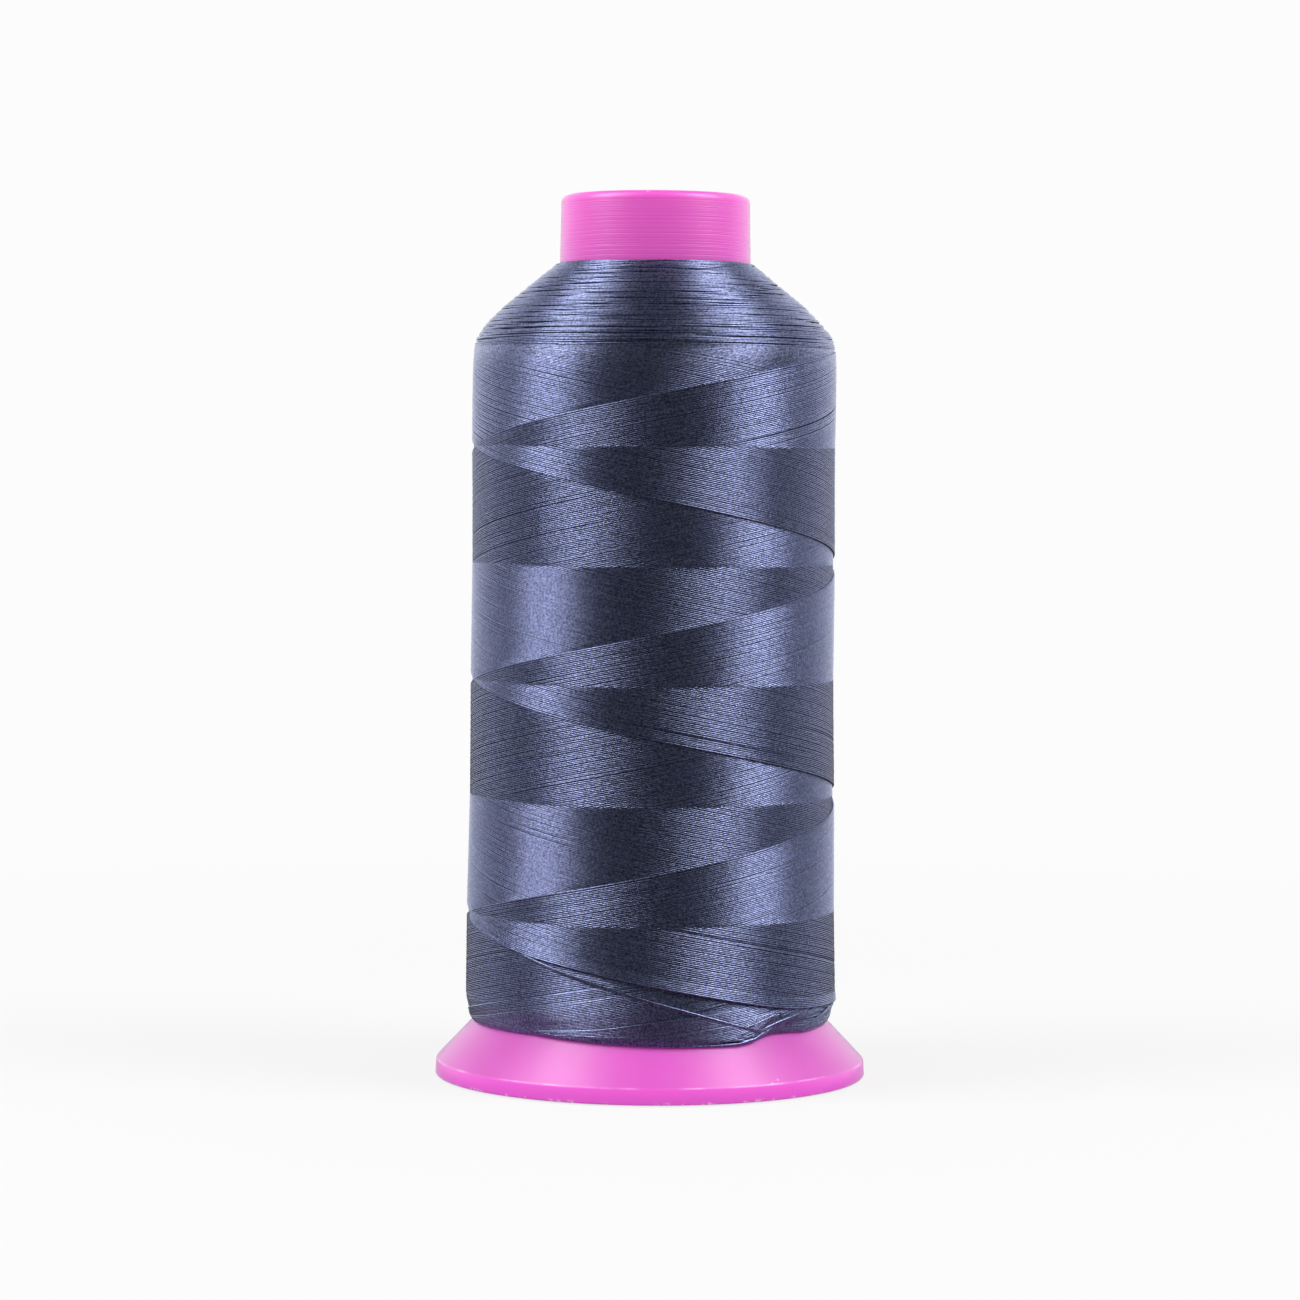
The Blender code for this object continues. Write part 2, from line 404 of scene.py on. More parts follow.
class PackageSide:
    """The package's outer side as a smooth line, measured by height or by distance down it."""

    def __init__(self, stations, samples=24):
        points = np.array(stations)
        ends = np.vstack([2 * points[0] - points[1], points, 2 * points[-1] - points[-2]])
        line = []
        for i in range(1, len(ends) - 2):
            p0, p1, p2, p3 = ends[i - 1 : i + 3]
            knots = np.linalg.norm([p1 - p0, p2 - p1, p3 - p2], axis=1) ** 0.5
            m1 = (p1 - p0) / knots[0] - (p2 - p0) / (knots[0] + knots[1]) + (p2 - p1) / knots[1]
            m2 = (p2 - p1) / knots[1] - (p3 - p1) / (knots[1] + knots[2]) + (p3 - p2) / knots[2]
            t = np.linspace(0, 1, samples, endpoint=False)[:, None]
            m1, m2 = m1 * knots[1], m2 * knots[1]
            line.append(
                (2 * t**3 - 3 * t**2 + 1) * p1 + (t**3 - 2 * t**2 + t) * m1
                + (3 * t**2 - 2 * t**3) * p2 + (t**3 - t**2) * m2
            )
        self.line = np.vstack([*line, points[-1:]])
        self.run = np.concatenate([[0], np.cumsum(np.linalg.norm(np.diff(self.line, axis=0), axis=1))])
        self.length = self.run[-1]

    def at(self, distance):
        """Points (r, z) and outward normals (r, z) at distances down the side."""
        r = np.interp(distance, self.run, self.line[:, 0])
        z = np.interp(distance, self.run, self.line[:, 1])
        ahead = np.clip(distance + 0.2 * MM, 0, self.length)
        behind = np.clip(distance - 0.2 * MM, 0, self.length)
        dr = np.interp(ahead, self.run, self.line[:, 0]) - np.interp(behind, self.run, self.line[:, 0])
        dz = np.interp(ahead, self.run, self.line[:, 1]) - np.interp(behind, self.run, self.line[:, 1])
        size = np.hypot(dr, dz)
        return r, z, -dz / size, dr / size

    def distance_at(self, height):
        return np.interp(-np.asarray(height), -self.line[:, 1], self.run)


SIDE = PackageSide(PACKAGE_STATIONS)


def smooth(low, high, value):
    t = np.clip((value - low) / (high - low), 0, 1)
    return t * t * (3 - 2 * t)


def angle_signed(angle):
    return (angle + math.pi) % math.tau - math.pi


# How far the package's foot has climbed the cone: angles in degrees, and heights in mm
CLIMB_ANGLES = (-180, -60, -35, -15, 5, 31, 41, 58, 90, 180)
CLIMB_HEIGHTS = (0.5, 0.7, 0.75, 0.4, 0.1, 0.0, 1.0, 0.6, 0.7, 0.5)
CLIMB_FROM_Z = 12.0 * MM


def settle(angle, r, z):
    """The foot slides up the cone where the thread was drawn tighter."""
    climb = np.interp(np.degrees(angle_signed(angle)), CLIMB_ANGLES, CLIMB_HEIGHTS) * MM
    climb = climb * smooth(-CLIMB_FROM_Z, -PACKAGE_STATIONS[-1][1], -z)
    return r - CONE_SLOPE * climb, z + climb


def on_package(angle, distance, lift):
    """Points at angles round the package, distances down its side and heights above its surface."""
    r, z, nr, nz = SIDE.at(distance)
    r, z = settle(angle, r + lift * nr, z + lift * nz)
    return np.column_stack([r * np.sin(angle), -r * np.cos(angle), z])


# Paths of the strands


def eased_height(winding, climb):
    """The real height of a strand that climbs steadily but slows and turns at each end."""
    ease = winding.easing
    top_left = winding.top_turn + ease / 2 - climb
    foot_left = climb - (winding.foot_turn - ease / 2)
    top = np.where(top_left < ease, winding.top_turn - top_left**2 / (2 * ease), climb)
    return np.where(foot_left < ease, winding.foot_turn + foot_left**2 / (2 * ease), top)


# Strands that lie a little apart from their neighbours, in each family, as (start angle in degrees, start
# height in mm, end angle in degrees, depth in strand widths)
SLACK_RISING = (
    (-85, 76.4, -24, 1.0), (-77, 73.3, -17, 0.8), (26, 89.8, 85, 0.8), (4, 57.4, 29, 0.7),
    (150, 60.0, 215, 1.0), (120, 44.0, 170, 0.8),
)
SLACK_FALLING = (
    (-85, 91.7, -60, 0.8), (-39, 94.7, -29, 0.7), (-67, 70.0, -47, 1.0), (-4, 51.3, 49, 0.8),
    (54, 50.5, 85, 0.9), (-55, 37.2, -17, 1.0), (-52, 37.6, -24, 0.8), (5, 23.5, 85, 1.0),
    (140, 80.0, 200, 1.0), (230, 55.0, 262, 0.8),
)


def slack_places(winding, rising):
    """Each slack strand's age, the climbs it is slack between, in turns, and its depth."""
    sign = 1 if rising else -1
    places = []
    for angle, height, end, depth in SLACK_RISING if rising else SLACK_FALLING:
        t = (math.radians(angle) - winding.seam) / math.tau
        s = (height * MM - winding.crossing) / winding.pitch
        s_end = s + sign * math.radians(end - angle) / math.tau
        places.append(((t - sign * s) % 1, min(s, s_end), max(s, s_end), depth))
    return places


def strand_shade(rng):
    return float(np.clip(rng.normal(1.0, 0.035), 0.85, 1.15))


def body_runs(winding, rising, rng):
    """Each stretch where this family lies on top, as (angles, distances down the side, lifts, shade).

    Heights are climbs s in turns from the crossing height, and t is the angle in turns from the seam. Each
    strand has an age, from 0 for the newest to 1. It comes to the top again every half turn of climb, and
    stays there for the longer, the newer it is, before the other family's newer strands cover it.
    """
    sign = 1 if rising else -1
    spacing = 1 / winding.ends
    turn_length = math.tau * WINDING_R
    tuck = 1.4 * MM / turn_length
    d = winding.diameter
    trim = 1.6 * MM
    top_climb = (winding.top_turn + winding.easing / 2 - trim - winding.crossing) / winding.pitch
    foot_climb = (winding.foot_turn - winding.easing / 2 + trim - winding.crossing) / winding.pitch
    slack = slack_places(winding, rising)
    for k in range(winding.ends):
        age = (k + 0.5) * spacing
        shade = strand_shade(rng)
        sideways = rng.normal(0, 0.06) * spacing
        raised = rng.normal(0, 0.008 * MM)
        wave = rng.uniform(0, math.tau, 3)
        low = (0.4 - age) * winding.build
        end_lift = min(low, 0.4 * winding.build - 1.05 * d)
        for band in range(-8, 9):
            start = sign * band / 2
            first, last = sorted((sign * (foot_climb - start), sign * (top_climb - start)))
            u_from, u_to = max(0.0, first), min((1 - age) / 2, last)
            if u_to - u_from < 0.006:
                continue
            count = max(3, int((u_to - u_from) * turn_length / winding.step) + 1)
            u = np.concatenate([
                u_from - tuck * np.array([1.0, 0.55]),
                np.linspace(u_from, u_to, count),
                u_to + tuck * np.array([0.55, 1.0]),
            ])
            s = start + sign * u
            t = age + sign * start + u
            beyond_start = np.clip((u_from - u) / tuck, 0, 1)
            beyond_end = np.clip((u - u_to) / tuck, 0, 1)
            sunk = low - 1.05 * d * smooth(0, 1, beyond_start)
            lift = np.where(beyond_start > 0, sunk, low + raised)
            lift = lift + (end_lift - low) * smooth(0, 1, beyond_end)
            waves = np.sin(s * 9 + wave[0]) + 0.6 * np.sin(s * 23 + wave[1]) + 0.35 * np.sin(s * 61 + wave[2])
            wander = sideways + spacing * 0.06 * waves
            for slack_age, s_from, s_to, depth in slack:
                apart = (age - slack_age + 0.5) % 1 - 0.5
                if abs(apart) > 4 * spacing:
                    continue
                inside = smooth(s_from - 0.02, s_from + 0.02, s) * (1 - smooth(s_to - 0.02, s_to + 0.02, s))
                if abs(apart) < 0.75 * spacing:
                    lift = lift - inside * depth * 0.4 * d
                push = math.copysign(0.16 * spacing, apart) * math.exp(-abs(apart) / spacing / 2)
                wander = wander + inside * push
            # a strand wanders across its family, towards its younger or older neighbour
            climb = winding.crossing + winding.pitch * (s - sign * wander)
            distance = SIDE.distance_at(eased_height(winding, climb))
            yield winding.seam + math.tau * t, distance, lift - d / 2, shade


def turning_runs(winding, rng, first, last, spread, dip, grooves):
    """The arcs where strands turn back at the package's ends, each tucked under at both tips."""
    d = winding.diameter
    arcs = 5
    rows = int((last - first) / (d * 0.98))
    for row in range(rows + 1):
        level = first + (last - first) * row / rows
        offset = rng.uniform(0, math.tau)
        for j in range(arcs):
            half = rng.uniform(*spread) / 2
            middle = offset + math.tau * j / arcs + rng.uniform(-0.2, 0.2)
            r = float(SIDE.at(np.array([level]))[0][0])
            count = max(7, int(2 * half * r / winding.step))
            x = np.linspace(-1, 1, count)
            x = np.concatenate([[-1.04], x, [1.04]])
            angle = middle + x * half
            lean = rng.uniform(-0.5, 0.5)
            distance = level + dip * (x**2 + lean * x) * 0.5 + rng.normal(0, 0.03 * MM)
            lift = 0.03 * MM - 0.30 * MM * smooth(0.55, 1.04, np.abs(x)) + rng.normal(0, 0.02 * MM)
            lift = lift + grooves(angle, distance)
            shade = strand_shade(rng)
            yield angle, distance, lift - d / 2, shade


def shoulder_grooves(angle, distance):
    """How far the strands sink between the shoulder's ridges, and in two deep grooves at its foot."""
    wander = 0.25 * np.sin(angle * 2 + 1.3) + 0.18 * np.sin(angle * 5 + distance * 900)
    phase = distance / (1.15 * MM) + wander
    groove = (1 - np.abs(np.sin(math.pi * phase))) ** 1.6
    strength = np.clip(0.45 + 0.6 * np.sin(angle * 3 + np.floor(phase + 0.5) * 0.9), 0.12, 1.0)
    sink = -0.33 * MM * groove * strength * smooth(0.3 * MM, 1.6 * MM, distance)
    reach = smooth(-1.7, -1.3, angle_signed(angle)) * (1 - smooth(-0.1, 0.25, angle_signed(angle)))
    for height, depth in ((104.7 * MM, 0.30 * MM), (105.4 * MM, 0.22 * MM)):
        off = distance - SIDE.distance_at(height)
        sink = sink - depth * reach * np.exp(-((off / (0.16 * MM)) ** 2))
    return sink


def heel_grooves(angle, distance):
    """How far the strands sink in the faint grooves round the foot."""
    phase = distance / (0.95 * MM) + 0.3 * np.sin(angle * 3)
    return -0.05 * MM * smooth(0.6, 1.0, np.cos(math.tau * phase)) * (0.5 + 0.5 * np.sin(angle * 4 + 1))


class Band(typing.NamedTuple):
    """A flat band of strands: its top edge as (degrees, mm), and how many strands hang below that edge.

    The top edge stands proud by so many strand widths, or the lower edge does if that is negative. The band
    ends where it has passed under the band of the number given.
    """

    edge: tuple
    count: int
    proud: float = 0.35
    under: int = -1

    def top(self, angle):
        """The top edge's distance down the side, with its corners eased."""
        degrees, heights = zip(*self.edge)
        near = (np.interp(np.degrees(angle) + ease, degrees, heights) for ease in (-6, -3, 0, 3, 6))
        return SIDE.distance_at(sum(near) / 5 * MM)


# The bands that cross near the foot, in the order they lie, lowest first. The wrap is the long falling band
# that the rising ones pass under, and the last five are round the back.
WRAP = 9
HEEL_BANDS = (
    Band(((-100, 7.6), (-75, 9.8), (-50, 12.3), (-22, 14.6), (0, 16.4), (20, 18.0)), 10, 0.3, WRAP),
    Band(((-90, 7.2), (-67, 8.6), (-44, 11.0), (-11, 14.0), (10, 16.0), (40, 18.8)), 18, 0.35, WRAP),
    Band((
        (-47, 7.4), (-36, 8.0), (-17, 9.1), (1, 10.7), (16, 11.4), (40, 13.0), (60, 14.4),
    ), 13, 0.3, WRAP),
    Band(((-40, 7.3), (-20, 8.1), (0, 8.4), (20, 9.6), (34, 10.7), (60, 13.4)), 9, 0.25, WRAP),
    Band(((-46, 7.9), (-20, 7.5), (5, 7.3), (26, 7.4), (36, 7.8), (44, 8.6)), 4),
    Band(((22, 8.9), (31, 9.8), (36, 10.6), (46, 11.8), (70, 14.2)), 7, 0.35, WRAP),
    Band(((32, 8.0), (39, 8.8), (47, 10.1), (56, 11.1), (84, 13.8)), 7, 0.35, WRAP),
    Band(((50, 7.6), (58, 8.6), (69, 9.8), (98, 13.0)), 6, 0.35, WRAP),
    Band((
        (-84, 24.2), (-49, 20.1), (-22, 16.5), (-2, 13.9), (13, 12.0), (28, 9.9), (35, 8.9), (44, 7.6),
    ), 2, 0.2),
    Band((
        (-84, 24.8), (-54, 21.5), (-28, 19.4), (-11, 18.0), (3, 16.7), (23, 14.9), (33, 14.0), (46, 13.0),
        (60, 12.5), (77, 12.2), (92, 11.8), (122, 13.0),
    ), 6, -0.35),
    Band(((100, 7.8), (130, 11.0), (165, 14.5)), 14),
    Band(((118, 18.0), (150, 14.0), (185, 9.5), (196, 8.0)), 16),
    Band(((150, 7.6), (190, 10.6), (226, 14.2)), 12),
    Band(((190, 17.0), (225, 12.5), (262, 8.2)), 14),
    Band(((210, 7.6), (240, 9.4), (268, 12.0)), 8),
)


def band_runs(winding, rng, bands):
    """Each band's strands side by side like a shingle: lifted along one edge and tucked under at the tips."""
    d = winding.diameter
    pitch = d * 0.97
    for order, band in enumerate(bands):
        first, last = math.radians(band.edge[0][0]), math.radians(band.edge[-1][0])
        whole = np.linspace(first, last, int((last - first) * WINDING_R / winding.step))
        for row in range(band.count):
            angle, distance = whole, band.top(whole) + row * pitch
            if band.under >= 0:
                cover = bands[band.under]
                clear = distance > cover.top(whole) + 0.35 * cover.count * pitch
                if not clear.all():
                    angle, distance = whole[:clear.argmin()], distance[:clear.argmin()]
            if len(angle) < 6:
                continue
            run = (angle[-1] - angle[0]) * WINDING_R
            start, end = rng.uniform(3.5, 5.5, 2) * MM / run
            along = np.linspace(0, 1, len(angle))
            tuck = smooth(0, start, along) * smooth(0, end, 1 - along)
            distance = distance + rng.normal(0, 0.015 * MM)
            beyond = np.maximum(distance - (SIDE.length - 0.15 * MM), 0.0)
            share = 1 - row / band.count if band.proud > 0 else (row + 1) / band.count
            rise = 0.3 * winding.build + (abs(band.proud) * d + order % 10 * 0.016 * MM) * share
            lift = rise * tuck - 0.9 * d * (1 - tuck) - 1.4 * beyond
            shade = strand_shade(rng)
            yield angle, distance - beyond, lift - d / 2, shade


# Laying thread along paths


def path_mesh(name, runs):
    """The runs as a mesh of loose edges, with each strand's shade on its points."""
    points, edges, shades = [], [], []
    start = 0
    for angle, distance, lift, shade in runs:
        along = on_package(angle, distance, np.broadcast_to(lift, angle.shape))
        points.append(along)
        index = np.arange(start, start + len(along) - 1)
        edges.append(np.column_stack([index, index + 1]))
        shades.append(np.full(len(along), shade))
        start += len(along)
    mesh = bpy.data.meshes.new(name)
    points, edges = np.vstack(points), np.vstack(edges)
    mesh.vertices.add(len(points))
    mesh.vertices.foreach_set("co", points.astype(np.float32).ravel())
    mesh.edges.add(len(edges))
    mesh.edges.foreach_set("vertices", edges.astype(np.int32).ravel())
    attribute = mesh.attributes.new("shade", "FLOAT", "POINT")
    attribute.data.foreach_set("value", np.concatenate(shades).astype(np.float32))
    mesh.update()
    return mesh


def lay_thread_tree():
    """Node group that sweeps a round strand along every edge path, with its length and turn as a UV map."""
    tree = bpy.data.node_groups.new("Lay Thread", "GeometryNodeTree")
    tree.interface.new_socket("Geometry", in_out="OUTPUT", socket_type="NodeSocketGeometry")
    for name, kind in (
        ("Geometry", "Geometry"), ("Diameter", "Float"), ("Sides", "Int"),
        ("Waver", "Float"), ("Seed", "Float"), ("Material", "Material"),
    ):
        tree.interface.new_socket(name, in_out="INPUT", socket_type="NodeSocket" + kind)
    nodes = Nodes(tree)

    def store(geometry, name, value, **kind):
        inputs = {"Geometry": geometry, "Name": name, "Value": value}
        return nodes.add("GeometryNodeStoreNamedAttribute", inputs, **kind).outputs[0]

    def stored(name):
        node = nodes.add("GeometryNodeInputNamedAttribute", {"Name": name}, data_type="FLOAT")
        return node.outputs["Attribute"]

    given = nodes.add("NodeGroupInput").outputs
    place = nodes.add("GeometryNodeInputPosition").outputs[0]
    waver = nodes.add(
        "ShaderNodeTexNoise", {"Vector": place, "W": given["Seed"], "Scale": 260.0, "Detail": 1.0},
        noise_dimensions="4D",
    ).outputs["Color"]
    centred = nodes.add("ShaderNodeVectorMath", {0: waver, 1: (0.5, 0.5, 0.5)}, operation="SUBTRACT")
    shift = nodes.scaled(centred.outputs[0], given["Waver"])
    moved = nodes.add("GeometryNodeSetPosition", {"Geometry": given["Geometry"], "Offset": shift})
    curves = nodes.add("GeometryNodeMeshToCurve", {"Mesh": moved.outputs[0]})
    upright = nodes.add("GeometryNodeSetCurveNormal", {"Curve": curves.outputs[0]}, mode="Z_UP")
    run = nodes.add("GeometryNodeSplineParameter").outputs["Length"]
    measured = store(upright.outputs[0], "along", run, data_type="FLOAT", domain="POINT")
    radius = nodes.maths("MULTIPLY", given["Diameter"], 0.5)
    ring = nodes.add(
        "GeometryNodeCurvePrimitiveCircle", {"Resolution": given["Sides"], "Radius": radius}, mode="RADIUS"
    )
    around = nodes.add("GeometryNodeSplineParameter").outputs["Factor"]
    marked = store(ring.outputs["Curve"], "around", around, data_type="FLOAT", domain="POINT")
    sweep = {"Curve": measured, "Profile Curve": marked, "Fill Caps": True}
    swept = nodes.add("GeometryNodeCurveToMesh", sweep)
    pair = nodes.add("ShaderNodeCombineXYZ", {"X": stored("along"), "Y": stored("around")}).outputs[0]
    mapped = store(swept.outputs[0], "UVMap", pair, data_type="FLOAT2", domain="CORNER")
    smoothed = nodes.add("GeometryNodeSetShadeSmooth", {"Geometry": mapped, "Shade Smooth": True})
    real = nodes.add("GeometryNodeRealizeInstances", {"Geometry": smoothed.outputs[0]})
    finish = {"Geometry": real.outputs[0], "Material": given["Material"]}
    dyed = nodes.add("GeometryNodeSetMaterial", finish)
    out = nodes.add("NodeGroupOutput")
    tree.links.new(dyed.outputs[0], out.inputs[0])
    return tree


def lay_thread(name, runs, material, winding, sides=6):
    """Lays thread along the runs as one plain mesh, which rides on the spool."""
    tree = bpy.data.node_groups.get("Lay Thread") or lay_thread_tree()
    guide = new_object(name + "_path", path_mesh(name, runs))
    lay = guide.modifiers.new("Lay Thread", "NODES")
    lay.node_group = tree
    values = {
        "Diameter": winding.diameter * 1.06, "Sides": sides, "Waver": winding.waver,
        "Seed": float(winding.seed), "Material": material,
    }
    for item in tree.interface.items_tree:
        if item.in_out == "INPUT" and item.name in values:
            lay[item.identifier] = values[item.name]
    mesh = bpy.data.meshes.new_from_object(guide.evaluated_get(bpy.context.evaluated_depsgraph_get()))
    guide.modifiers.remove(lay)
    bpy.data.objects.remove(guide, do_unlink=True)
    mesh.name = name
    for spare in ("along", "around"):
        if spare in mesh.attributes:
            mesh.attributes.remove(mesh.attributes[spare])
    if not mesh.materials:
        mesh.materials.append(material)
    piece = new_object(name, mesh)
    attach(piece, "spool")
    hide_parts("thread_package")


# Operators, one for each group of pieces


class SPOOL_OT_turn_tube(bpy.types.Operator):
    """Turn the tube with its rounded neck, centring web, seat ring and retaining bead"""

    bl_idname = "spool.turn_tube"
    bl_label = "Turn Tube"

    def execute(self, context):
        _, plastic, _ = build_settings()
        tube_r, neck_r, bore_r = TUBE_R, 13.35 * MM, 11.5 * MM
        edge = 1.1 * MM
        inner_edge = 0.35 * MM
        seat_r = TUBE_HIGH[0]
        seat_z = BASE_HIGH[2] + GAP
        web_z, web_foot = 118.5 * MM, 117.0 * MM
        hole_r, sleeve_r, sleeve_z = 5.0 * MM, 6.2 * MM, 112.0 * MM
        foot = TUBE_LOW[2]
        section = [
            *arc((neck_r - edge, HEIGHT - edge), edge, 90, 0, 9),
            (tube_r, 115.0 * MM),
            (tube_r, seat_z + 2.5 * MM),
            (seat_r, seat_z + 1.5 * MM),
            (seat_r, seat_z),
            (tube_r, seat_z),
            (tube_r, 8.4 * MM),
            (14.3 * MM, 8.4 * MM),
            (14.3 * MM, 7.4 * MM),
            (tube_r, 6.4 * MM),
            (tube_r, foot),
            (bore_r, foot),
            (bore_r, web_foot),
            (sleeve_r, web_foot),
            (sleeve_r, sleeve_z),
            (hole_r, sleeve_z),
            (hole_r, web_z - 0.4 * MM),
            (hole_r + 0.4 * MM, web_z),
            *arc((bore_r - 0.5 * MM, web_z + 0.5 * MM), 0.5 * MM, -90, 0, 5),
            *arc((bore_r + inner_edge, HEIGHT - inner_edge), inner_edge, 180, 90, 5),
        ]
        material = plastic_material("tube_plastic", plastic.tube_colour, 1.0)
        piece = turn_section("moulded_tube", section, plastic.facets, material)
        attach(piece, "spool")
        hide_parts("spool_tube")
        return {"FINISHED"}


class SPOOL_OT_turn_base(bpy.types.Operator):
    """Turn the flared snap base with its rim band, collar and ribbed hollow underside"""

    bl_idname = "spool.turn_base"
    bl_label = "Turn Base"

    def execute(self, context):
        _, plastic, _ = build_settings()
        top = BASE_HIGH[2]
        band, slope, cone_r = CONE_FOOT_Z, CONE_SLOPE, CONE_FOOT_R
        wall = 1.5 * MM * math.hypot(1, slope)
        collar_top_r = cone_r - slope * (top - band)
        collar_r, counter_r, bore_r = 16.2 * MM, 14.6 * MM, 13.8 * MM
        rim_in = 28.8 * MM
        section = [
            (collar_top_r, top),
            (cone_r - slope * 0.15 * MM - 0.02 * MM, band + 0.17 * MM),
            (cone_r - 0.03 * MM, band + 0.02 * MM),
            (RIM_R - 0.12 * MM, band - 0.2 * MM),
            (RIM_R, 0.3 * MM),
            *arc((RIM_R - 0.25 * MM, 0.25 * MM), 0.25 * MM, -15, -90, 4),
            (rim_in, 0.0),
            (rim_in, band + (cone_r - wall - rim_in) / slope),
            (collar_r, band + (cone_r - wall - collar_r) / slope),
            (collar_r, 0.4 * MM),
            (counter_r, 0.4 * MM),
            (counter_r, 11.2 * MM),
            (bore_r, 11.2 * MM),
            (bore_r, top),
        ]
        material = plastic_material("base_plastic", plastic.base_colour, 0.1)
        pieces = [turn_section("flared_base", section, plastic.facets, material)]
        foot, sunk = 3.0 * MM, 0.2 * MM
        skirt_r = cone_r - wall - slope * (foot - band)
        pieces.append(self.ribs(collar_r - sunk, skirt_r + sunk, foot, slope))
        pieces[1].data.materials.append(material)
        for piece in pieces:
            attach(piece, "base")
            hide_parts("snap_base")
        return {"FINISHED"}

    @staticmethod
    def ribs(inner_r, outer_r, foot, slope, count=8, thickness=1.0 * MM):
        """Triangular fins between the collar and the skirt, as one mesh."""
        form = bmesh.new()
        outline = [(inner_r, foot), (outer_r, foot), (inner_r, foot + (outer_r - inner_r) / slope)]
        for k in range(count):
            turn = Matrix.Rotation(math.tau * (k + 0.5) / count, 3, "Z")
            sides = [
                [form.verts.new(turn @ Vector((r, y, z))) for r, z in outline]
                for y in (-thickness / 2, thickness / 2)
            ]
            form.faces.new(sides[0])
            form.faces.new(reversed(sides[1]))
            for a in range(3):
                b = (a + 1) % 3
                form.faces.new((sides[0][b], sides[0][a], sides[1][a], sides[1][b]))
        bmesh.ops.recalc_face_normals(form, faces=form.faces)
        mesh = bpy.data.meshes.new("base_ribs")
        form.to_mesh(mesh)
        form.free()
        return new_object("base_ribs", mesh)


class SPOOL_OT_form_core(bpy.types.Operator):
    """Form the buried layers of thread that fill the gaps between the strands on top"""

    bl_idname = "spool.form_core"
    bl_label = "Form Package Core"

    def execute(self, context):
        winding, _, _ = build_settings()
        inset = 0.62 * MM
        bore_r = TUBE_R + GAP
        distances = np.linspace(0.0, SIDE.length - 0.3 * MM, 160)
        r, z, nr, nz = SIDE.at(distances)
        outer = np.column_stack([np.maximum(r - inset * nr, bore_r), z - inset * nz])
        outer[0] = (bore_r, PACKAGE_HIGH[2] - inset)
        cone = CONE_FOOT_R + GAP * math.hypot(1, CONE_SLOPE)
        ring_r = TUBE_HIGH[0] + GAP
        seat_z = BASE_HIGH[2] + 2 * GAP + 1.5 * MM
        inner = [
            (outer[-1][0], CONE_FOOT_Z + (cone - outer[-1][0]) / CONE_SLOPE),
            (ring_r, CONE_FOOT_Z + (cone - ring_r) / CONE_SLOPE),
            (ring_r, seat_z),
            (bore_r, seat_z + 1.0 * MM),
        ]
        section = [tuple(p) for p in outer] + inner
        material = core_material("core_thread", winding.colour)
        piece = turn_section("package_core", section, 96, material, 60)
        for corner in piece.data.vertices:
            x, y, z = corner.co
            r, z = settle(math.atan2(x, -y), math.hypot(x, y), z)
            corner.co = Vector((x, y, 0)).normalized() * float(r) + Vector((0, 0, float(z)))
        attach(piece, "spool")
        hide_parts("thread_package")
        return {"FINISHED"}


class SPOOL_OT_lay_body(bpy.types.Operator):
    """Lay the two crossing families of strands on the package's long body"""

    bl_idname = "spool.lay_body"
    bl_label = "Lay Body Strands"

    def execute(self, context):
        winding, _, _ = build_settings()
        material = strand_material("strand_thread", winding.colour)
        for rising, name in ((False, "falling_strands"), (True, "rising_strands")):
            rng = np.random.default_rng(winding.seed + rising)
            runs = list(body_runs(winding, rising, rng))
            middle = float(np.median([np.mean(run[1]) for run in runs]))
            upper = [run for run in runs if np.mean(run[1]) < middle]
            lower = [run for run in runs if np.mean(run[1]) >= middle]
            lay_thread(name + "_upper", upper, material, winding)
            lay_thread(name + "_lower", lower, material, winding)
        return {"FINISHED"}


class SPOOL_OT_lay_shoulder(bpy.types.Operator):
    """Lay the turning strands that make the ridged shoulder"""

    bl_idname = "spool.lay_shoulder"
    bl_label = "Lay Shoulder Strands"

    def execute(self, context):
        winding, _, _ = build_settings()
        rng = np.random.default_rng(winding.seed + 20)
        last = float(SIDE.distance_at(103.3 * MM))
        runs = list(turning_runs(winding, rng, 0.15 * MM, last, (1.7, 2.4), 0.5 * MM, shoulder_grooves))
        lay_thread("shoulder_strands", runs, bpy.data.materials["strand_thread"], winding)
        return {"FINISHED"}


class SPOOL_OT_lay_heel(bpy.types.Operator):
    """Lay the turning strands round the package's rounded foot"""

    bl_idname = "spool.lay_heel"
    bl_label = "Lay Heel Strands"

    def execute(self, context):
        winding, _, _ = build_settings()
        rng = np.random.default_rng(winding.seed + 40)
        first, last = float(SIDE.distance_at(9.6 * MM)), SIDE.length - 0.1 * MM
        runs = list(turning_runs(winding, rng, first, last, (1.2, 2.2), -0.7 * MM, heel_grooves))
        lay_thread("heel_strands", runs, bpy.data.materials["strand_thread"], winding)
        runs = list(band_runs(winding, rng, HEEL_BANDS))
        lay_thread("heel_bands", runs, bpy.data.materials["strand_thread"], winding)
        return {"FINISHED"}


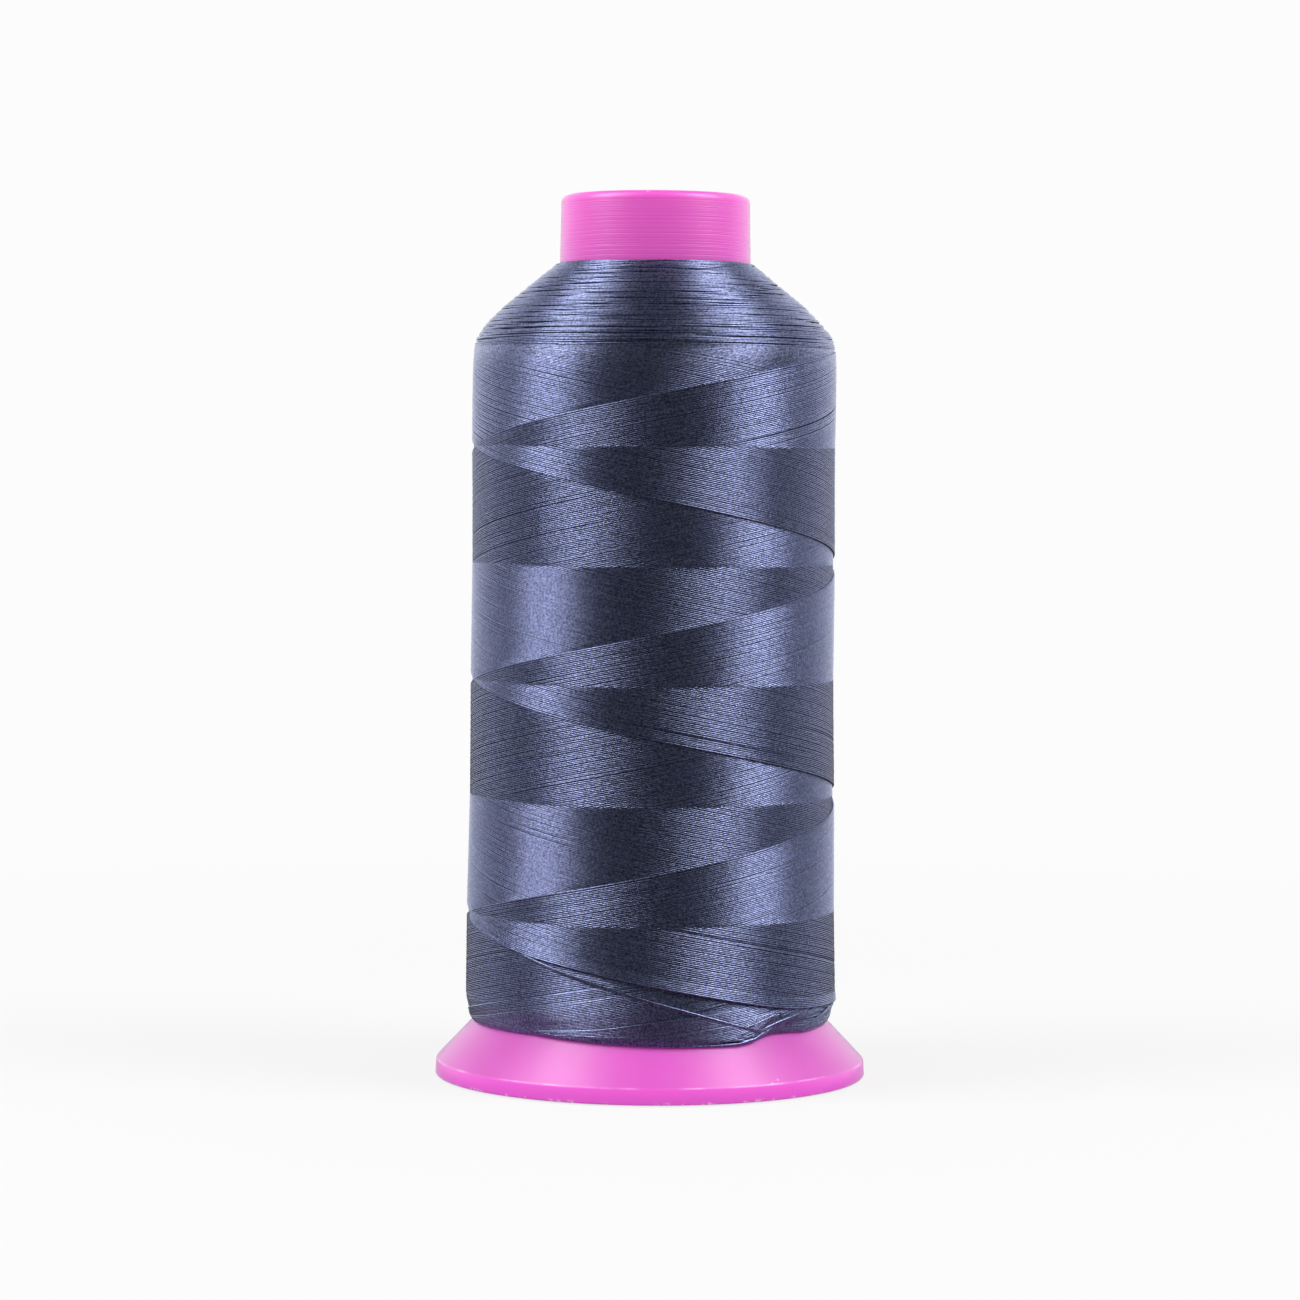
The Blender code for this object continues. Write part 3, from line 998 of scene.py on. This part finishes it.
class SPOOL_OT_set_stage(bpy.types.Operator):
    """Set the pale floor, the soft lights, the surroundings and the camera"""

    bl_idname = "spool.set_stage"
    bl_label = "Set Stage"

    def execute(self, context):
        _, _, stage = build_settings()
        self.lay_floor()
        soft_box("left_box", -71, 44, 0.62, (0.31, 0.42), 2.9)
        soft_box("right_box", 70, 44, 0.62, (0.31, 0.42), 2.9)
        context.scene.world = self.surroundings()
        eye = self.camera(stage)
        context.scene.collection.objects.link(eye)
        context.scene.camera = eye
        context.scene.view_settings.view_transform = "Standard"
        return {"FINISHED"}

    @staticmethod
    def lay_floor():
        """A pale disc that fades into the surroundings and throws little of its light on the thread."""
        form = bmesh.new()
        bmesh.ops.create_circle(form, cap_ends=True, segments=96, radius=0.5)
        mesh = bpy.data.meshes.new("floor")
        form.to_mesh(mesh)
        form.free()
        floor = new_object("floor", mesh)
        floor.location = (0, 0, -0.2 * MM)
        material, shader, nodes = new_material("floor_white")
        rays = nodes.add("ShaderNodeLightPath").outputs
        seen = rays["Is Camera Ray"]
        matt = nodes.maths("MULTIPLY_ADD", rays["Is Diffuse Ray"], 0.6, 0.07)
        place = nodes.add("ShaderNodeTexCoord").outputs["Object"]
        reach = nodes.add("ShaderNodeVectorMath", {0: place}, operation="LENGTH").outputs["Value"]
        far = nodes.ramp(reach, (0.06, 0.35), (0.0, 1.0), interpolation_type="SMOOTHSTEP")
        near = nodes.maths("MULTIPLY_ADD", far, -0.12, 0.12)
        glow = nodes.maths("MULTIPLY", nodes.maths("MULTIPLY_ADD", far, 0.185, 0.79), seen)
        finish_shader(
            material, shader, nodes.mix(seen, matt, near), Roughness=1.0, Specular_IOR_Level=0.0,
            Emission_Color=(1, 1, 1, 1),
        )
        material.node_tree.links.new(glow, shader.inputs["Emission Strength"])
        mesh.materials.append(material)
        floor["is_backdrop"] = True

    @staticmethod
    def surroundings():
        """Even grey for matt light, a bright low wall behind for gloss, and a pale backdrop."""
        world = bpy.data.worlds.new("studio")
        world.use_nodes = True
        nodes = Nodes(world.node_tree)
        way = nodes.add("ShaderNodeTexCoord").outputs["Generated"]
        axes = nodes.add("ShaderNodeSeparateXYZ", {"Vector": way}).outputs
        behind = nodes.ramp(axes["Y"], (-0.1, 0.6), (0.0, 1.3))
        low = nodes.ramp(axes["Z"], (0.35, 0.7), (1.0, 0.0))
        wall = nodes.maths("MULTIPLY_ADD", behind, low, 0.01)
        rays = nodes.add("ShaderNodeLightPath").outputs
        around = nodes.mix(rays["Is Diffuse Ray"], wall, (0.60, 0.60, 0.60, 1))
        level = nodes.mix(rays["Is Camera Ray"], around, (0.975, 0.975, 0.975, 1))
        world.node_tree.links.new(level, world.node_tree.nodes["Background"].inputs["Color"])
        return world

    @staticmethod
    def camera(stage):
        camera = bpy.data.cameras.new("camera")
        camera.sensor_width = 36.0
        camera.lens = stage.lens
        camera.clip_start = 0.01
        eye = bpy.data.objects.new("camera", camera)
        eye.location = (-stage.aside, -stage.distance, stage.height)
        view = Vector((0, stage.distance, stage.aim - stage.height))
        turn = view.to_track_quat("-Z", "Y").to_matrix() @ Matrix.Rotation(stage.lean, 3, "Z")
        eye.rotation_euler = turn.to_euler()
        return eye


class SPOOL_PT_sidebar(bpy.types.Panel):
    """Lists the spool's steps in the order they are made, and their sizes and colours"""

    bl_idname = "SPOOL_PT_sidebar"
    bl_label = "Spool of Thread"
    bl_space_type = "VIEW_3D"
    bl_region_type = "UI"
    bl_category = "Spool"

    def draw(self, context):
        for operator in OPERATORS:
            self.layout.operator(operator.bl_idname)
        for group in build_settings():
            box = self.layout.box()
            for name in type(group).__annotations__:
                box.prop(group, name)


OPERATORS = (
    SPOOL_OT_set_stage,
    SPOOL_OT_turn_tube,
    SPOOL_OT_turn_base,
    SPOOL_OT_form_core,
    SPOOL_OT_lay_body,
    SPOOL_OT_lay_shoulder,
    SPOOL_OT_lay_heel,
)
SETTINGS = (WindingSettings, PlasticSettings, StageSettings)
CLASSES = (*SETTINGS, *OPERATORS, SPOOL_PT_sidebar)


def register():
    for cls in CLASSES:
        bpy.utils.register_class(cls)
    bpy.types.Scene.spool_winding = PointerProperty(type=WindingSettings)
    bpy.types.Scene.spool_plastic = PointerProperty(type=PlasticSettings)
    bpy.types.Scene.spool_stage = PointerProperty(type=StageSettings)


def unregister():
    del bpy.types.Scene.spool_winding
    del bpy.types.Scene.spool_plastic
    del bpy.types.Scene.spool_stage
    for cls in reversed(CLASSES):
        bpy.utils.unregister_class(cls)


def main():
    register()
    for operator in OPERATORS:
        getattr(bpy.ops.spool, operator.bl_idname.split(".")[1])()
    boxes = [[list(map(float, corner)) for corner in box] for box in (CAD_BOX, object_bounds())]


if __name__ == "__main__":
    main()
